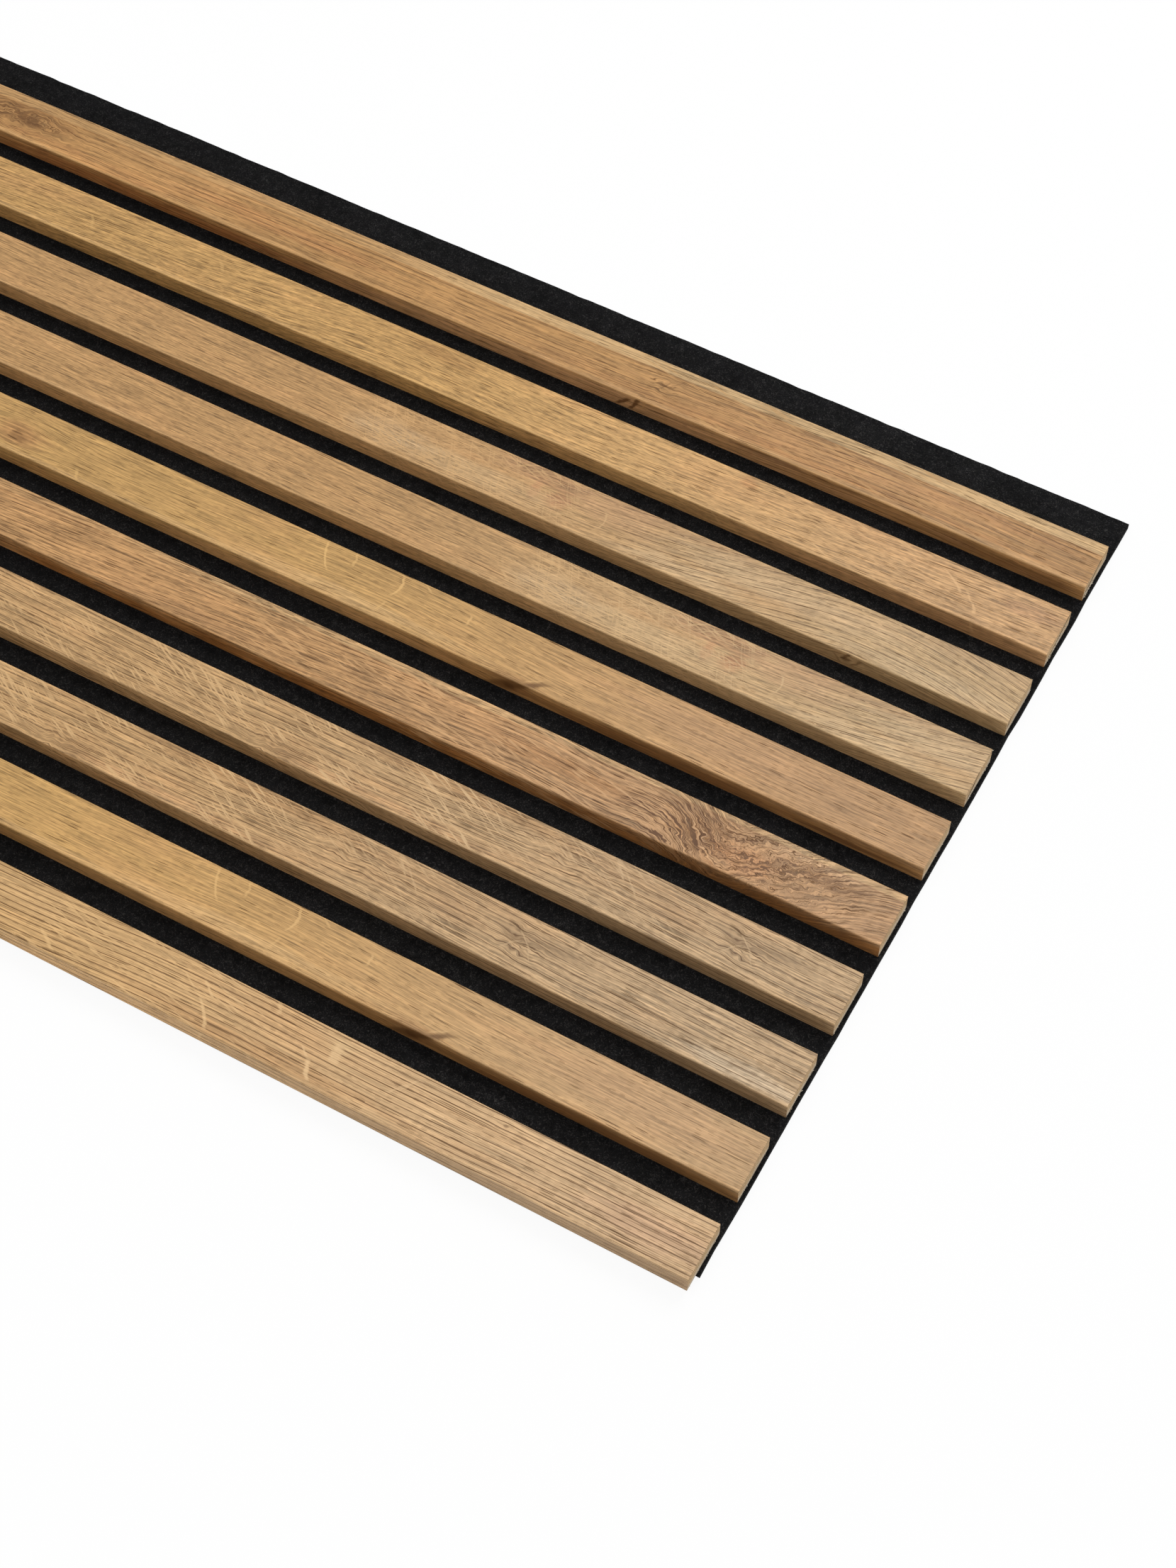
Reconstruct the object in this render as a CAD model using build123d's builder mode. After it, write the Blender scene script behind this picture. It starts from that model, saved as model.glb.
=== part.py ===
"""Slat wall panel: pale board slats wrapped in oak decor foil, glued side by side on black felt.

The panel lies flat on its back. X runs along the slats, Y across them and Z out of the wall.
Slat 1 is at +Y, beside the bare felt margin. The last slat is at -Y and stands out past the felt,
so that it covers the joint and lands on the next panel's margin.
The origin is at the middle of the panel's outline, on the felt's back face. Units are millimetres.
"""

import os

from build123d import *

# Felt backing
felt_length = 2700.0
felt_width = 400.0
felt_thickness = 3.0

# Slats, measured over their foil
slat_count = 10
slat_pitch = 40.0
slat_width = 25.7
slat_height = 9.0
slat_edge_radius = 0.6
foil_thickness = 0.3

# The last slat stands out past the felt by this much
slat_overhang = 8.2

# The felt shows past each end of the slats by this much
end_inset = 1.0

# Saw tears: dark cracks in the board under the foil, open at the slats' +X ends
tear_gap = 1.2
tear_depth = 2.6

# Each torn slat: where its crack starts and ends, from the slat's +Y side, and how far it sinks
tears = {
    1: (8.0, 23.5, 5.4),
    2: (2.0, 21.5, 6.2),
    3: (21.0, 24.0, 3.0),
    4: (13.0, 22.5, 5.2),
}

# Sizes that follow
panel_width = slat_overhang + felt_width
panel_edge_y = panel_width / 2
felt_centre_y = slat_overhang / 2
slat_length = felt_length - 2 * end_inset
slat_end_x = slat_length / 2
core_width = slat_width - 2 * foil_thickness
core_height = slat_height - foil_thickness
core_edge_radius = slat_edge_radius - foil_thickness


def slat_centre_y(number):
    """The middle of a slat. The last one's outer face is the panel's -Y edge."""
    return -panel_edge_y + slat_width / 2 + (slat_count - number) * slat_pitch


def slat_plane(number):
    """A plane across a slat at its -X end, on the felt: its x is the panel's Y, its y is up."""
    start = (-slat_end_x, slat_centre_y(number), felt_thickness)
    return Plane(origin=start, x_dir=(0, 1, 0), z_dir=(1, 0, 0))


def tablet(width, height, radius):
    """A slat's section: flat below, with its two upper edges rounded."""
    with BuildSketch() as section:
        Rectangle(width, height, align=(Align.CENTER, Align.MIN))
        fillet(section.vertices().group_by(Axis.Y)[-1], radius)
    return section.sketch


def make_felt():
    """The felt sheet that holds the slats."""
    with BuildPart() as felt:
        with BuildSketch(Plane.XY):
            with Locations((0, felt_centre_y)):
                Rectangle(felt_length, felt_width)
        extrude(amount=felt_thickness)
    felt.part.label = "felt_backing"
    return felt.part


def tear_outline(number):
    """A crack's outline on the slat's end: a wedge that sinks from under the foil, widening."""
    start, end, drop = tears[number]
    start_y = slat_width / 2 - start
    end_y = slat_width / 2 - end
    end_z = core_height - drop
    with BuildSketch() as outline:
        with BuildLine():
            Polyline(
                (start_y, core_height),
                (end_y, end_z),
                (end_y, end_z - tear_gap),
                (start_y, core_height - tear_gap / 2),
                close=True,
            )
        make_face()
    return outline.sketch


def make_core(number):
    """A slat's board. Its +X end keeps the tear that the saw left in it."""
    with BuildPart() as core:
        with BuildSketch(slat_plane(number)):
            add(tablet(core_width, core_height, core_edge_radius))
        extrude(amount=slat_length)
        if number in tears:
            with BuildSketch(slat_plane(number).offset(slat_length)):
                add(tear_outline(number))
            extrude(amount=-tear_depth, mode=Mode.SUBTRACT)
    core.part.label = f"slat_core_{number:02d}"
    return core.part


def make_foil(number):
    """The decor foil, wrapped over a slat's top and down both sides to the felt."""
    with BuildPart() as foil:
        with BuildSketch(slat_plane(number)):
            add(tablet(slat_width, slat_height, slat_edge_radius))
            add(tablet(core_width, core_height, core_edge_radius), mode=Mode.SUBTRACT)
        extrude(amount=slat_length)
    foil.part.label = f"slat_foil_{number:02d}"
    return foil.part


pieces = [make_felt()]
for slat_number in range(1, slat_count + 1):
    pieces.append(make_core(slat_number))
    pieces.append(make_foil(slat_number))

os.makedirs("parts", exist_ok=True)
for piece in pieces:
    export_step(piece, f"parts/{piece.label}.step")
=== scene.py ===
"""The looks of the slat wall panel: oak decor foil on pale board slats, on a black needle felt.

Everything is in metres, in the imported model's frame: X along the slats towards the end with the saw
tears, Y across them towards the bare felt margin, Z out of the wall. The decor is laid out in
millimetres on the unrolled foil: u from the visible end, v across from the middle of the top.
"""

import math
import random

import bpy
import numpy as np
from mathutils import Euler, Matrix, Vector, noise


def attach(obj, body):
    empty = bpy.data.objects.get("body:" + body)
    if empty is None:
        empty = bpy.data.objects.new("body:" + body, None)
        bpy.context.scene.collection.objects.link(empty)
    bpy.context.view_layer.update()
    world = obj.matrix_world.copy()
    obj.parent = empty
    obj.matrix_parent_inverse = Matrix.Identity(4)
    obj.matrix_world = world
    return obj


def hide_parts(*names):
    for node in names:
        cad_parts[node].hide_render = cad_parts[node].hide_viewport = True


MM = 0.001

# Saw tears at the visible ends, in millimetres: where each starts and ends from the slat's +Y side,
# and how far it sinks
TEARS = {1: (8.0, 23.5, 5.4), 2: (2.0, 21.5, 6.2), 3: (21.0, 24.0, 3.0), 4: (13.0, 22.5, 5.2)}

# Sizes of the panel, as in its construction
SLAT_COUNT = 10
SLAT_PITCH = 40 * MM
SLAT_WIDTH = 25.7 * MM
SLAT_HEIGHT = 9 * MM
EDGE_RADIUS = 0.6 * MM
FOIL = 0.3 * MM
SLAT_LENGTH = 2698 * MM
PANEL_EDGE_Y = 204.1 * MM
FELT_LENGTH = 2700 * MM
FELT_WIDTH = 400 * MM
FELT_CENTRE_Y = 4.1 * MM
FELT_THICKNESS = 3 * MM

# Painted light: the felt is paler over this length beside the visible end
PAINTED_LIGHT_LENGTH = 550 * MM

# The unrolled foil: half the flat top, a rounded edge, and a side
TOP_HALF = SLAT_WIDTH / 2 - EDGE_RADIUS
ARC = EDGE_RADIUS * math.pi / 2
SIDE = SLAT_HEIGHT - EDGE_RADIUS

# The camera that took the picture
CAMERA_PLACE = (1.50924, -0.58639, 0.95714)
CAMERA_TURN = (33.5425, -0.5209, 28.9099)
CAMERA_LENS = 64.75


def slat_y(number):
    """The middle of a slat across the panel."""
    return -PANEL_EDGE_Y + SLAT_WIDTH / 2 + (SLAT_COUNT - number) * SLAT_PITCH


def srgb(red, green, blue):
    """A colour given as display values from 0 to 255, as scene-linear RGBA."""
    def linear(value):
        value /= 255
        return value / 12.92 if value <= 0.04045 else ((value + 0.055) / 1.055) ** 2.4
    return (linear(red), linear(green), linear(blue), 1.0)


class Shader:
    """Builds one node material from short calls."""

    def __init__(self, name):
        self.material = bpy.data.materials.new(name)
        self.material.use_nodes = True
        self.nodes = self.material.node_tree.nodes
        self.links = self.material.node_tree.links
        self.nodes.clear()

    def node(self, kind, inputs=None, **settings):
        new = self.nodes.new(kind)
        for key, value in settings.items():
            setattr(new, key, value)
        for key, value in (inputs or {}).items():
            if isinstance(value, bpy.types.NodeSocket):
                self.links.new(value, new.inputs[key])
            else:
                new.inputs[key].default_value = value
        return new

    def math(self, operation, a, b=0.0, c=0.0, clamp=False):
        new = self.node("ShaderNodeMath", {0: a, 1: b, 2: c}, operation=operation, use_clamp=clamp)
        return new.outputs[0]

    def add(self, a, b):
        return self.math("ADD", a, b)

    def sub(self, a, b):
        return self.math("SUBTRACT", a, b)

    def mul(self, a, b):
        return self.math("MULTIPLY", a, b)

    def plus(self, a, b, c):
        """a times b, plus c."""
        return self.math("MULTIPLY_ADD", a, b, c)

    def ease(self, value, start, end, low=0.0, high=1.0):
        """Goes smoothly from low to high as the value goes from start to end."""
        inputs = {"Value": value, "From Min": start, "From Max": end, "To Min": low, "To Max": high}
        return self.node("ShaderNodeMapRange", inputs, interpolation_type="SMOOTHSTEP").outputs[0]

    def place(self):
        """Where a point is on its piece, in metres."""
        return self.node("ShaderNodeTexCoord").outputs["Object"]

    def split(self, place):
        """The parts of a place along X, Y and Z."""
        return tuple(self.node("ShaderNodeSeparateXYZ", {0: place}).outputs)

    def point(self, x, y, z=0.0):
        return self.node("ShaderNodeCombineXYZ", {0: x, 1: y, 2: z}).outputs[0]

    def noise(self, place, detail=2.0, roughness=0.5, distortion=0.0, scale=1.0):
        """Noise round zero, mostly within a quarter either way."""
        inputs = {"Vector": place, "Scale": scale, "Detail": detail, "Roughness": roughness,
                  "Distortion": distortion}
        return self.sub(self.node("ShaderNodeTexNoise", inputs).outputs[0], 0.5)

    def cells(self, place):
        """Scattered cells: the distance from each one's middle, and two random values for each."""
        inputs = {"Vector": place, "Scale": 1.0}
        new = self.node("ShaderNodeTexVoronoi", inputs, voronoi_dimensions="2D")
        parts = self.node("ShaderNodeSeparateColor", {0: new.outputs["Color"]})
        return new.outputs["Distance"], parts.outputs[0], parts.outputs[1]

    def mix(self, factor, a, b, blend="MIX"):
        new = self.node("ShaderNodeMix", {0: factor, 6: a, 7: b}, data_type="RGBA", blend_type=blend)
        return new.outputs[2]

    def scaled(self, colour, factor):
        """A colour made brighter or darker by a factor."""
        colour = colour[:3] if isinstance(colour, tuple) else colour
        return self.node("ShaderNodeVectorMath", {0: colour, 3: factor}, operation="SCALE").outputs[0]

    def finish(self, colour, roughness, height=None, depth=0.0, **gloss):
        """Ends the material with the usual shader; depth is the relief's in metres."""
        inputs = {"Base Color": colour, "Roughness": roughness}
        inputs.update({key.replace("_", " "): value for key, value in gloss.items()})
        if height is not None:
            bump = self.node("ShaderNodeBump", {"Height": height, "Distance": depth, "Strength": 1.0})
            inputs["Normal"] = bump.outputs[0]
        shader = self.node("ShaderNodeBsdfPrincipled", inputs)
        self.node("ShaderNodeOutputMaterial", {"Surface": shader.outputs[0]})
        return self.material


# The decor repeats along the foil after this many millimetres
REPEAT = 900.0

# The prints. Tone is the wood's middle colour and end_tone its colour near the visible end, where it
# also carries a painted sheen. Pith is where the log's heart runs beside or under the slat: across,
# depth below, and how fast it sinks away along the slat. Ring is the width of a year's growth, and
# early the share of it with open pores.
# Sway is how far the grain wanders, and tilt how far it slants. Places and sizes are in millimetres.
# lines:   (strength, share of a ring, length of the dashes, share that shows) dark lines between years
# line_window: (from u, to u) where those lines are at full strength
# texture: (length and width of the fibres, their strength, streaks, tiny pores, short ones, long ones,
#          grooves, speckle)
# band:    (v where it starts, strength) paler wood along the far edge
# edge:    (v where it ends, strength) paler wood beside the near edge
# scribble: how strong the fine pale scribbles are
# bends:   (u, reach along, height) humps of the grain
# knots:   (u, v, reach, how much the grain bends round it, darkness)
# curls:   (u, v, reach along, reach across, size, amount) where the grain curls without order
# feather: (u, v, reach along, reach across, strength) fine dark lines that follow the turned grain
# patches: (u, v, reach along, reach across, colour, strength)
# arcs:    (u, v, length across, lean, bow, width, strength) pale rays that cross the grain, or dark
#          marks where the strength is below 0
# rays:    (from u, to u, degrees off the grain, strength) groups of fine pale rays
PRINTS = {
    "A": dict(
        tone=(180, 136, 84), end_tone=(171, 129, 81), pith=(-34, 9, 0.004), early=0.45, ring=2.5,
        sway=5, tilt=0.01, lines=(0.75, 0.22, 50, 0.45),
        texture=(20, 0.55, 1.9, 0.8, 0.25, 0.12, 0.3, 0.3, 0.35), band=(6.2, 0.8),
        edge=(-10.6, 0.25), scribble=0.1,
        bends=[(90, 60, 3.0), (260, 90, -2.0)],
        knots=[(209, 0, 4, 0.6, 0.25), (548, -1, 8, 0.8, 0.45)],
        curls=[(208, 0, 9, 9, 9, 7), (548, 0, 26, 9, 9, 12)],
        feather=[(556, 1, 24, 6, 0.7)],
        patches=[
            (554, 0, 34, 9, (120, 80, 44), 0.45), (142, -14.6, 34, 1.3, (84, 50, 26), 0.8),
            (30, -18, 34, 3, (120, 82, 50), 0.5), (240, -19, 170, 7, (204, 160, 116), 0.7),
            (120, 0, 80, 7, (196, 146, 98), 0.4), (40, 2, 40, 3, (168, 116, 74), 0.25),
            (110, -9, 90, 3, (164, 116, 70), 0.5), (205, -8, 80, 4, (168, 120, 74), 0.4),
            (175, 11, 50, 4, (208, 172, 126), 0.5), (480, -20, 110, 7, (150, 92, 50), 0.7),
            (410, -2, 60, 5, (188, 132, 82), 0.5), (500, -9, 60, 4, (196, 142, 88), 0.5),
        ],
        arcs=[
            (216, -17, 9, -0.5, 0.05, 1.2, -0.85), (222, -18, 7, -0.9, 0.05, 1.5, -0.85),
            (212, -16, 8, -0.3, 0.08, 0.8, 0.5), (208, -1, 8, -0.6, 0.05, 0.6, -0.4),
            (203, 3, 7, -0.9, 0.05, 0.5, -0.35), (31, 1, 12, 0.05, 0.03, 0.5, 0.35),
        ],
        rays=[(70, 235, 10, 0.8), (230, 330, 6, 0.35), (380, 520, 9, 0.5)],
    ),
    "B": dict(
        tone=(198, 155, 96), end_tone=(200, 160, 111), pith=(60, 20, 0.01), early=3.0, ring=2.7,
        sway=7, tilt=0.05, lines=(0.5, 0.16, 34, 0.6),
        texture=(14, 0.50, 2.0, 0.30, 0.20, 0.10, 0.12, 0.1, 0.8), edge=(-11.5, 0.3), scribble=0.15,
        bends=[(330, 60, 5.0)],
        patches=[
            (40, -19, 110, 6, (206, 156, 110), 0.6), (302, 7, 20, 5, (150, 108, 62), 0.45),
            (15, 4, 14, 5, (190, 140, 104), 0.3), (150, 9, 5, 4, (160, 104, 62), 0.4),
        ],
        arcs=[
            (49, 3, 9, 1.3, 0.08, 0.8, 0.7), (36.5, -6, 6, 0.6, 0.05, 1.0, 0.7),
            (41, -1, 5, 0.9, 0.0, 0.7, 0.5), (34, -16, 6, 0.2, 0.0, 1.0, 0.5),
            (108, -9, 4, 2.0, 0.0, 0.9, 0.6), (155, -16, 6, 0.9, 0.0, 0.9, 0.5),
            (174, -14, 9, 1.3, 0.0, 0.7, 0.35), (168, -6, 5, 2.0, 0.0, 0.5, 0.4),
            (486, -1, 8, 0.6, 0.05, 1.0, 0.4), (418, 4, 6, 0.8, 0.05, 1.0, 0.4),
        ],
        rays=[(60, 130, 14, 0.4), (160, 320, 16, 0.35)],
    ),
    "C": dict(
        tone=(185, 144, 95), end_tone=(189, 157, 114), pith=(30, 30, 0.02), early=0.24, ring=2.7,
        sway=6, tilt=0.0, lines=(1.4, 0.12, 5, 0.80),
        texture=(15, 0.52, 2.0, 0.35, 0.22, 0.10, 0.06, 0.08, 0.6), line_window=(-200, 175),
        edge=(-11.5, 0.3), scribble=0.45,
        bends=[(62, 88, 22.0)],
        knots=[(73, -17, 4, 0.8, 0.7)],
        patches=[
            (217, 0, 6, 6, (180, 132, 92), 0.9), (229, 1, 3, 6, (192, 138, 98), 0.5),
            (155, -9, 30, 5, (214, 184, 142), 0.4), (228, 9, 26, 6, (166, 124, 88), 0.6),
            (150, 10, 60, 3, (172, 136, 98), 0.5), (30, 10, 40, 5, (174, 144, 106), 0.55),
            (36, -8, 50, 5, (206, 178, 138), 0.4), (265, -5, 46, 7, (206, 178, 136), 0.3),
            (110, 3, 60, 8, (198, 170, 132), 0.45), (300, -3, 22, 8, (206, 178, 142), 0.25),
            (190, 5, 26, 9, (190, 146, 108), 0.35),
        ],
        arcs=[
            (194, -1, 11, 0.1, 0.08, 0.6, 0.6), (297, -5, 6, 1.8, 0.0, 0.6, 0.7),
            (240, -9, 5, -2.0, 0.0, 0.6, 0.5), (322, -7, 5, 1.2, 0.0, 0.9, 0.6),
            (270, 0, 8, -0.6, 0.0, 0.5, 0.4), (275, -3, 8, 0.9, 0.0, 0.5, 0.5),
            (258, -4, 7, 2.2, 0.0, 0.5, 0.5), (73, -15, 6, -0.7, 0.05, 1.2, -0.8),
            (68, -17, 6, -0.9, 0.05, 0.8, -0.6), (77, -18, 5, 0.8, 0.05, 0.7, -0.5),
        ],
        rays=[(205, 330, 22, 0.7), (205, 330, -30, 0.6), (205, 330, 64, 0.5)],
    ),
    "D": dict(
        tone=(199, 157, 97), end_tone=(189, 148, 104), pith=(45, 40, 0.012), early=3.0, ring=3.0,
        sway=7, tilt=0.0, lines=(0.3, 0.14, 26, 0.5),
        texture=(16, 0.52, 1.8, 0.30, 0.22, 0.06, 0.06, 0.0, 0.4), edge=(-10.5, 0.3), scribble=0.05,
        bends=[(250, 60, 4.0)],
        knots=[(189, -17, 5, 0.8, 0.6), (440, -4, 8, 0.7, 0.4)],
        patches=[
            (150, -20, 320, 7, (186, 138, 84), 0.9), (118, -20, 62, 7, (128, 84, 46), 0.75),
            (290, -20, 90, 7, (214, 168, 112), 0.7), (188, -15, 12, 6, (138, 96, 58), 0.7),
            (440, -3, 14, 7, (176, 122, 80), 0.45), (95, 2, 60, 11, (190, 148, 108), 0.35),
            (38, -19, 30, 1.6, (92, 54, 30), 0.7), (270, -9, 60, 3, (214, 176, 124), 0.4),
        ],
        arcs=[
            (289, 5.5, 15, 0.5, -0.03, 0.7, 0.8), (276, 9, 8, 0.2, 0.03, 0.7, 0.6),
            (252, 6, 13, 0.0, 0.06, 0.8, 0.85), (254.5, -6, 6, -0.3, 0.0, 0.8, 0.5),
            (241, 11, 3, 1.2, 0.0, 0.8, 0.6), (218, 5, 6, 0.1, 0.08, 0.7, 0.75),
            (406, -10, 6, 0.6, 0.0, 1.0, 0.5), (188, -16.5, 11, -1.2, 0.03, 5.0, -0.7),
            (182, -13.5, 11, -1.6, 0.03, 1.8, -0.55), (194, -18, 8, -1.4, 0.03, 2.2, -0.5),
            (177, -10, 6, -1.5, 0.03, 2.2, -0.45), (179, -9, 5, -1.7, 0.0, 0.6, 0.5),
        ],
    ),
    "E": dict(
        tone=(187, 143, 94), end_tone=(186, 145, 104), pith=(-30, 14, 0.02), early=0.45, ring=2.0,
        sway=7, tilt=0.05, lines=(0.75, 0.16, 18, 0.55),
        texture=(19, 0.55, 2.3, 0.5, 0.3, 0.4, 0.5, 0.9, 0.6), band=(8.5, 0.5),
        bends=[(74, 20, -21.0), (42, 26, -13.0), (124, 30, -4.0)],
        curls=[
            (64, -1, 24, 14, 5, 11), (88, -6, 20, 12, 7, 8), (44, 0, 26, 14, 4, 8),
            (84, -18, 22, 5, 6, 8),
        ],
        knots=[(84, -6, 4, 0.3, 0.4), (60, 5, 4, 0.5, 0.2), (26, 5, 5, 0.3, 0.3)],
        feather=[
            (96, -3, 24, 14, 1.25), (88, -17, 24, 5, 0.8), (62, 0, 24, 12, 0.9),
            (28, 5, 18, 5, 0.55),
        ],
        patches=[
            (120, -20, 400, 7, (172, 116, 62), 0.95), (150, 0, 40, 5, (164, 116, 70), 0.5),
            (320, 10, 44, 5, (208, 164, 112), 0.5), (318, -9, 40, 4, (160, 120, 80), 0.5),
            (34, 10, 30, 4, (206, 170, 130), 0.45), (84, 0, 16, 9, (128, 88, 52), 0.55),
            (64, -4, 16, 7, (190, 134, 88), 0.6), (30, 3, 15, 4, (124, 88, 54), 0.5),
        ],
        rays=[(100, 300, 12, 0.8)],
    ),
    "F": dict(
        tone=(188, 150, 103), end_tone=(188, 157, 119), pith=(50, 25, 0.02), early=0.32, ring=2.9,
        sway=8, tilt=0.0, lines=(1.5, 0.13, 120, 0.85),
        texture=(22, 0.55, 2.3, 0.4, 0.3, 0.25, 0.35, 0.9, 0.6), edge=(-11.5, 0.25), scribble=0.05,
        bends=[(110, 70, 3.0)],
        knots=[(48, -4, 2.5, 0.8, 0.35)],
        curls=[(46, 0, 10, 8, 9, 8), (126, 4, 28, 9, 10, 6), (260, -9, 14, 5, 9, 7)],
        feather=[(46, 0, 10, 6, 0.5), (124, 4, 30, 6, 0.4)],
        patches=[
            (74, 0, 16, 5, (166, 130, 92), 0.5), (-58, -9, 34, 5, (212, 188, 156), 0.6),
            (180, 10, 60, 4, (164, 122, 78), 0.5), (42, 3, 18, 4, (142, 112, 80), 0.35),
            (250, -9, 12, 4, (136, 100, 64), 0.35), (200, -10, 50, 3, (208, 160, 112), 0.5),
        ],
        arcs=[
            (104, 8, 8, 0.9, 0.03, 0.6, 0.5), (97, 4, 9, 1.0, 0.03, 0.6, 0.5),
            (45, 2, 7, 1.2, 0.0, 0.5, 0.5), (50, -2, 7, -1.0, 0.0, 0.5, 0.5),
            (41, -3, 6, 0.6, 0.0, 0.4, 0.4),
        ],
        rays=[(70, 150, 30, 0.5), (150, 340, 27, 1.1), (150, 330, 22, 0.7), (340, 460, 30, 0.8)],
    ),
    "G": dict(
        tone=(206, 165, 111), end_tone=(206, 171, 129), pith=(-60, 20, 0.01), early=0.28, ring=2.3,
        sway=5, tilt=0.02, lines=(1.35, 0.22, 70, 0.85),
        texture=(32, 0.50, 1.8, 0.15, 0.3, 0.2, 0.5, 0.8, 0.3),
        bends=[(225, 50, 2.5)],
        knots=[(88, 9, 2, 0.4, 0.6)],
        patches=[
            (20, -2, 30, 8, (198, 156, 126), 0.4), (300, 5, 44, 8, (216, 176, 124), 0.45),
            (190, -9, 64, 4, (184, 138, 90), 0.5), (158, 6, 5, 5, (220, 186, 136), 0.5),
        ],
        arcs=[
            (159, 4, 9, 0.1, 0.0, 2.6, 0.7), (283, -8, 7, 1.4, 0.05, 1.2, 0.7),
            (212, -6, 12, 0.8, 0.03, 1.0, 0.75), (216, 4, 6, 1.3, 0.0, 0.8, 0.7),
            (225, 4, 5, 1.5, 0.0, 0.6, 0.5), (210, -17, 7, -0.4, 0.0, 0.9, 0.4),
            (165.5, -7, 9, 0.5, -0.03, 1.2, 0.85), (170, -1, 4, 1.2, 0.0, 0.7, 0.6),
            (188, 10, 5, 0.5, 0.0, 1.0, 0.5), (131, 3, 8, -0.8, 0.0, 0.6, 0.4),
            (128, 6, 8, -0.6, 0.0, 0.5, 0.35),
        ],
        rays=[(180, 300, 12, 0.6)],
    ),
}

# Each slat's print, how far along the roll its visible end starts, the strength of the highlight
# painted on its near edge, its shade, and the painted shade of its near side at the visible end and 330
# mm along
SLATS = {1: ("A", 0, 0.70, 1.0, 1.12, 1.08), 2: ("B", 0, 0.80, 1.0, 1.02, 1.08),
         3: ("C", 0, 0.70, 0.99, 1.08, 1.20), 4: ("C", 105, 0.60, 0.99, 1.22, 1.20),
         5: ("D", 0, 0.30, 0.96, 1.0, 1.07), 6: ("E", 0, 0.44, 0.98, 0.86, 1.15),
         7: ("F", 0, 0.50, 0.98, 0.93, 1.12), 8: ("F", -76, 0.50, 1.01, 0.96, 1.04),
         9: ("D", 49, 0.20, 1.04, 0.85, 0.86), 10: ("G", 0, 0.0, 0.99, 0.90, 1.14)}

# Stains, and a painted shade for the near side: what the wood's tone is multiplied by in its marks
YEAR_LINE = (0.32, 0.25, 0.19, 1)
BAND_EDGE = (0.55, 0.45, 0.36, 1)
THREAD = (0.30, 0.23, 0.17, 1)
THREAD_GAP = (1.30, 1.34, 1.42, 1)
PORE = (0.26, 0.20, 0.15, 1)
RAY = (1.36, 1.42, 1.50, 1)
MARK = (0.26, 0.19, 0.13, 1)
# Painted shade: the browner near side, for light bounced between the slats
SIDE_SHADE_BROWN = (0.62, 0.56, 0.50, 1)
KNOT = (0.22, 0.15, 0.10, 1)

# Warmer wood in some blotches, and the paler wood beside the near edge and along the far one
WARM = (190, 142, 94)
NEAR_EDGE_WOOD = (212, 172, 122)
BAND_WOOD = (202, 168, 120)

# Painted light at single slats' visible ends: tints for the sheen and light that differ there from slat
# to slat
END_LIGHT_TINTS = {2: (1.0, 0.96, 0.96, 1), 5: (0.97, 0.96, 0.95, 1), 7: (1.03, 1.02, 1.0, 1),
             9: (1.0, 1.09, 1.16, 1)}


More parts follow.
